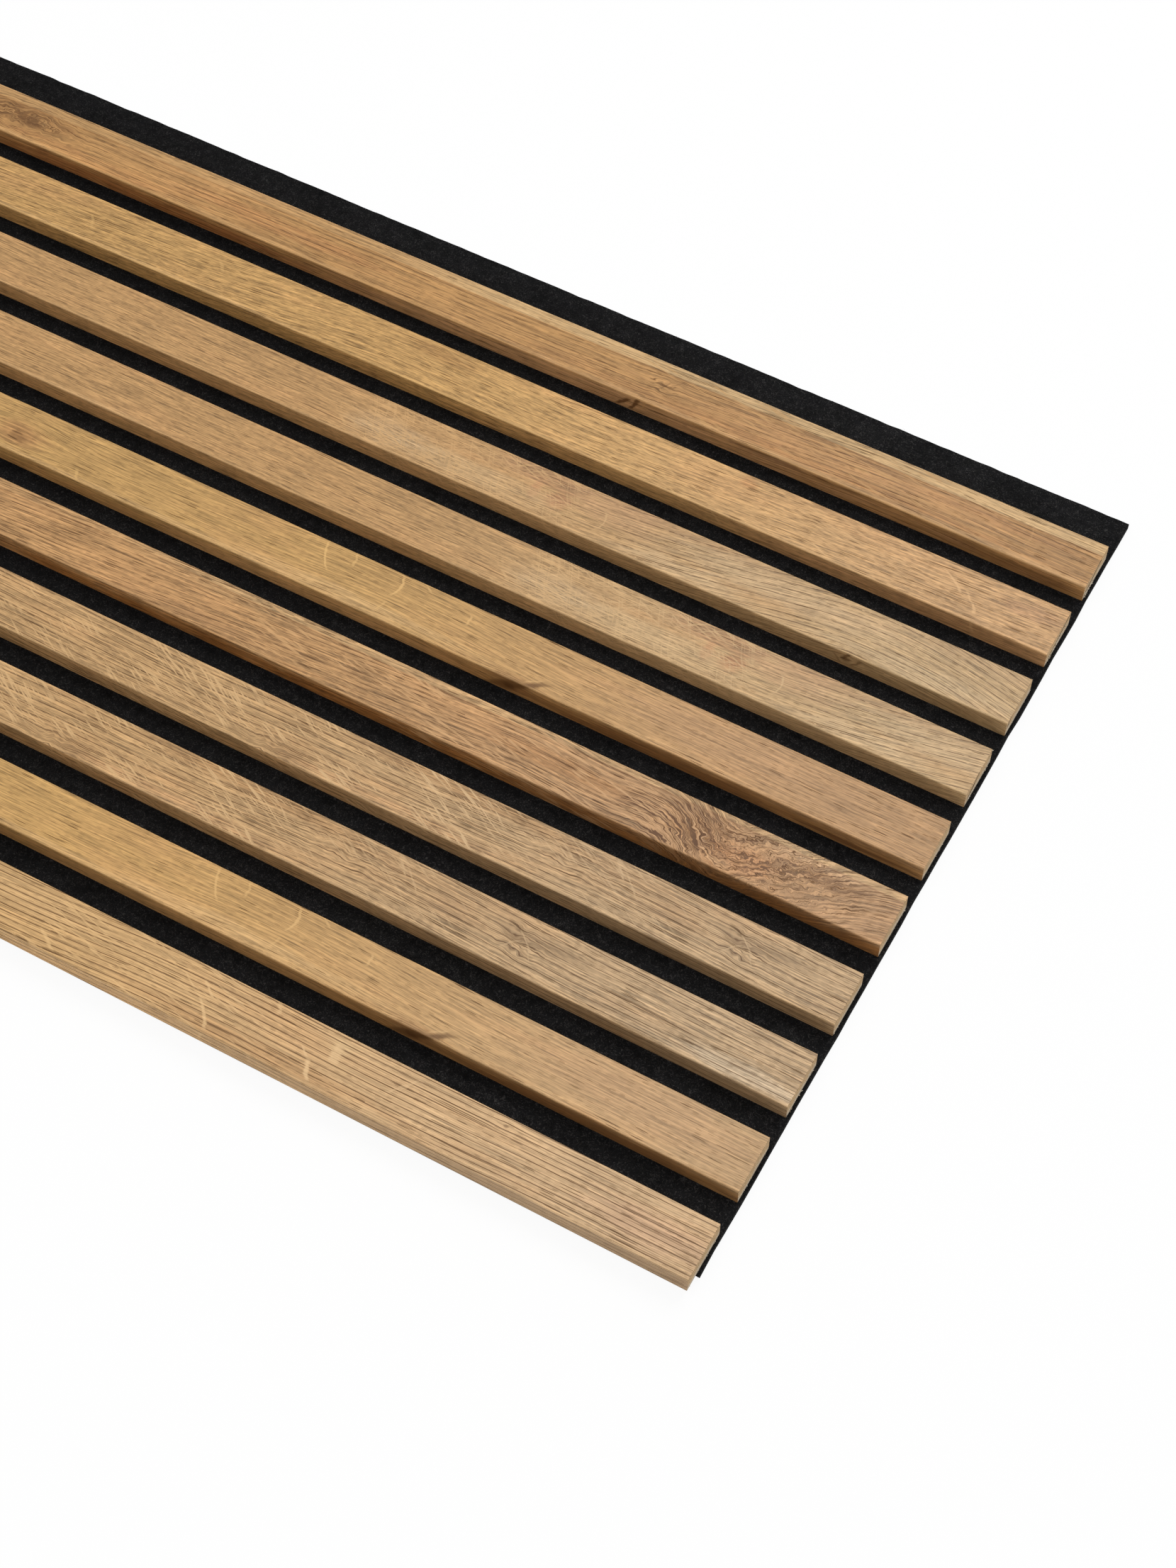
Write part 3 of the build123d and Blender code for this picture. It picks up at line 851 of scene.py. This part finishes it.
def make_fibres():
    """Loose fibres on the felt: short curved threads over its bare strips and along its cut edge."""
    rng = random.Random(5)
    points, faces = [], []

    def fibre(place, heading, rise, length, width, curl):
        steps = 4
        at = Vector(place)
        first = len(points)
        for k in range(steps + 1):
            taper = width * (1 - 0.7 * k / steps)
            sideways = Vector((-math.sin(heading), math.cos(heading), 0.6)) * taper / 2
            points.append(at - sideways)
            points.append(at + sideways)
            at = at + Vector((math.cos(heading), math.sin(heading), rise)) * length / steps
            heading += curl / steps
            rise -= 0.25 * abs(rise)
        for k in range(steps):
            a = first + 2 * k
            faces.append((a, a + 2, a + 3, a + 1))

    top = FELT_THICKNESS
    half_x, half_y = FELT_LENGTH / 2, FELT_WIDTH / 2
    for _ in range(LONG_EDGE_FIBRES):
        x = rng.uniform(-half_x, half_x)
        side = rng.choice((-1, 1))
        y = FELT_CENTRE_Y + side * (half_y - 0.3 * MM)
        z = rng.uniform(0.3 * MM, top)
        fibre((x, y, z), math.radians(90 * side + rng.uniform(-70, 70)), rng.uniform(-0.2, 0.4),
              rng.uniform(0.5, 2.2) * MM, 0.06 * MM, rng.uniform(-2.5, 2.5))
    for _ in range(SHORT_EDGE_FIBRES):
        y = FELT_CENTRE_Y + rng.uniform(-half_y, half_y)
        side = rng.choice((-1, 1))
        z = rng.uniform(0.3 * MM, top)
        fibre((side * (half_x - 0.4 * MM), y, z), math.radians(rng.uniform(-70, 70) + (90 - 90 * side)),
              rng.uniform(-0.2, 0.3), rng.uniform(0.4, 1.3) * MM, 0.06 * MM, rng.uniform(-2.5, 2.5))
    for _ in range(LYING_FIBRES):
        x = rng.uniform(-half_x, half_x)
        gap = rng.randrange(SLAT_COUNT + 1)
        if gap == 0:
            y = slat_y(1) + SLAT_WIDTH / 2 + rng.uniform(0.5, 22) * MM
        elif gap < SLAT_COUNT:
            y = slat_y(gap) - SLAT_WIDTH / 2 - rng.uniform(0.5, 13.8) * MM
        else:
            y = slat_y(1) + SLAT_WIDTH / 2 + rng.uniform(14, 22) * MM
        fibre((x, y, top), rng.uniform(0, 2 * math.pi), rng.uniform(0.02, 0.2),
              rng.uniform(0.8, 3.0) * MM, 0.05 * MM, rng.uniform(-2.5, 2.5))
    look = loose_look("felt_fibres", (22, 22, 23), (58, 56, 54), 1.0, 90.0, 0.8)
    fibres = new_piece("felt_fibres", points, faces, look)
    return fibres


# Torn ends: the slat, where its frays start and end across it, their height over the felt, how many,
# and how far they reach
FRAYS = [(1, 0, -12, 3.4, 0.6, 26, 1.3), (1, -8, -12.4, 1.2, 3.0, 12, 1.0),
         (2, 8, -11, 6.6, 1.8, 40, 1.2), (2, -7, -12.3, 0.8, 2.6, 12, 1.0),
         (4, -2, -11, 5.2, 1.8, 24, 1.2), (4, 11, 4, 2.4, 2.4, 18, 1.6),
         (4, 12.6, 12.0, 8.6, 8.8, 3, 1.6), (3, 12, 3, 2.0, 1.6, 8, 0.8),
         (3, -9, -12, 5.6, 3.0, 5, 0.8), (5, 10, -12, 0.6, 0.8, 10, 0.8),
         (6, 12, -12, 0.6, 0.8, 9, 0.8), (7, 12, -12, 0.6, 0.8, 8, 0.7),
         (8, 12, -12.6, 0.6, 0.8, 12, 0.9), (9, 12, -12, 0.6, 0.8, 8, 0.7),
         (10, 12, -12, 0.6, 0.8, 10, 0.7)]


def make_frays():
    """Small slivers that the saw tore out of the boards' +X ends, still hanging on."""
    rng = random.Random(12)
    board_half = SLAT_WIDTH / 2 - 0.35 * MM
    points, faces = [], []
    for number, from_v, to_v, from_z, to_z, count, reach in FRAYS:
        for _ in range(count):
            part = rng.random()
            y = slat_y(number) + (from_v + (to_v - from_v) * part + rng.uniform(-0.5, 0.5)) * MM
            y = max(slat_y(number) - board_half, min(slat_y(number) + board_half, y))
            z = FELT_THICKNESS + (from_z + (to_z - from_z) * part + rng.uniform(-0.4, 0.4)) * MM
            z = max(FELT_THICKNESS + 0.2 * MM, min(FELT_THICKNESS + SLAT_HEIGHT - 0.35 * MM, z))
            root = Vector((SLAT_LENGTH / 2 - 0.3 * MM, y, z))
            out = rng.uniform(0.45, 1.0) * min(reach, 0.95) * MM
            along = rng.choice((-1, 1)) * rng.uniform(0.2, 1.0) * reach * MM
            tip = root + Vector((out, along, rng.uniform(-0.3, 0.5) * MM))
            half = Vector((0, rng.uniform(0.1, 0.3) * MM, rng.uniform(0.05, 0.2) * MM))
            thick = Vector((0, 0, 0.12 * MM))
            middle = (root + tip) / 2 + Vector((0.12 * MM, 0, rng.uniform(0.0, 0.2) * MM))
            first = len(points)
            for spot, wide in ((root, 1.0), (middle, 0.75), (tip, 0.15)):
                points += [spot - half * wide, spot + half * wide, spot + thick * wide]
            for k in (0, 3):
                a = first + k
                faces += [(a, a + 1, a + 4, a + 3), (a + 1, a + 2, a + 5, a + 4)]
                faces += [(a + 2, a, a + 3, a + 5)]
            faces += [(first, first + 2, first + 1), (first + 6, first + 7, first + 8)]
    look = loose_look("board_fray", (196, 178, 150), (228, 220, 204), 2.0, 700.0, 0.85)
    frays = new_piece("board_frays", points, faces, look)


# The floor: how far it reaches, its height, what it reflects, and the share of plain white that the
# camera sees
FLOOR_REACH = 12.0
FLOOR_LEVEL = -0.05 * MM
FLOOR_REFLECTION = 0.95
FLOOR_WHITE = 0.92

# The light from all round, and the lamps: place, target, size and power
SKY_STRENGTH = 0.47
LAMPS = {"overhead": ((0.45, -1.0, 2.95), (1.05, 0.0, 0.0), 2.2, 17.5),
         "behind": ((1.55, 2.2, 3.42), (1.15, 0.0, 0.0), 2.2, 74.0)}


def make_floor():
    """A plain white floor that keeps the panel's shadow."""
    s = Shader("floor")
    see = s.node("ShaderNodeLightPath").outputs["Is Camera Ray"]
    shade = s.ease(see, 0.0, 1.0, FLOOR_REFLECTION, 1.0)
    matt = s.node("ShaderNodeBsdfDiffuse", {"Color": s.point(shade, shade, shade)})
    white = s.node("ShaderNodeEmission", {"Color": (1, 1, 1, 1), "Strength": 1.0})
    share = s.mul(see, FLOOR_WHITE)
    both = s.node("ShaderNodeMixShader", {0: share, 1: matt.outputs[0], 2: white.outputs[0]})
    s.node("ShaderNodeOutputMaterial", {"Surface": both.outputs[0]})
    mesh = bpy.data.meshes.new("floor")
    corners = [(x * FLOOR_REACH, y * FLOOR_REACH, FLOOR_LEVEL)
               for x, y in ((-1, -1), (1, -1), (1, 1), (-1, 1))]
    mesh.from_pydata(corners, [], [(0, 1, 2, 3)])
    mesh.materials.append(s.material)
    floor = bpy.data.objects.new("floor", mesh)
    bpy.context.scene.collection.objects.link(floor)


def make_light():
    """Soft light from all round, with two large lamps."""
    world = bpy.data.worlds.new("studio")
    bpy.context.scene.world = world
    world.use_nodes = True
    nodes, links = world.node_tree.nodes, world.node_tree.links
    nodes.clear()
    see = nodes.new("ShaderNodeLightPath")
    strength = nodes.new("ShaderNodeMapRange")
    strength.inputs["To Min"].default_value = SKY_STRENGTH
    strength.inputs["To Max"].default_value = 1.0
    back = nodes.new("ShaderNodeBackground")
    back.inputs["Color"].default_value = (1, 1, 1, 1)
    out = nodes.new("ShaderNodeOutputWorld")
    links.new(see.outputs["Is Camera Ray"], strength.inputs["Value"])
    links.new(strength.outputs[0], back.inputs["Strength"])
    links.new(back.outputs[0], out.inputs["Surface"])
    for name, values in LAMPS.items():
        lamp(name, *values)


def lamp(name, place, target, size, power):
    """A square soft lamp that faces a target."""
    data = bpy.data.lights.new(name, "AREA")
    data.shape = "SQUARE"
    data.size = size
    data.energy = power
    new = bpy.data.objects.new(name, data)
    new.location = place
    new.rotation_euler = (Vector(target) - Vector(place)).to_track_quat("-Z", "Y").to_euler()
    bpy.context.scene.collection.objects.link(new)


def make_camera():
    """The photo's camera."""
    data = bpy.data.cameras.new("camera")
    data.lens = CAMERA_LENS
    data.clip_start = 0.01
    camera = bpy.data.objects.new("camera", data)
    camera.location = CAMERA_PLACE
    camera.rotation_euler = Euler([math.radians(a) for a in CAMERA_TURN], "XYZ")
    bpy.context.scene.collection.objects.link(camera)
    bpy.context.scene.camera = camera


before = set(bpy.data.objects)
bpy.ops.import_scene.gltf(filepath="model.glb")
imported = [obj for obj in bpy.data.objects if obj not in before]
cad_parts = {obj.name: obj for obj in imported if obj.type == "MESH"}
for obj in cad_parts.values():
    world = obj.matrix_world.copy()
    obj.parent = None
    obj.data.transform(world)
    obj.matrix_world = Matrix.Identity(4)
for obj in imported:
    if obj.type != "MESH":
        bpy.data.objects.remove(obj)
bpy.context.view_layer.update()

for slat in range(1, SLAT_COUNT + 1):
    make_foil(slat)
pale = board()
for name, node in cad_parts.items():
    if name.startswith("slat_core"):
        node.data.materials.clear()
        node.data.materials.append(pale)
make_frays()
sheet = make_felt()
threads = make_fibres()

make_floor()
make_light()
make_camera()
bpy.context.scene.view_settings.view_transform = "Standard"
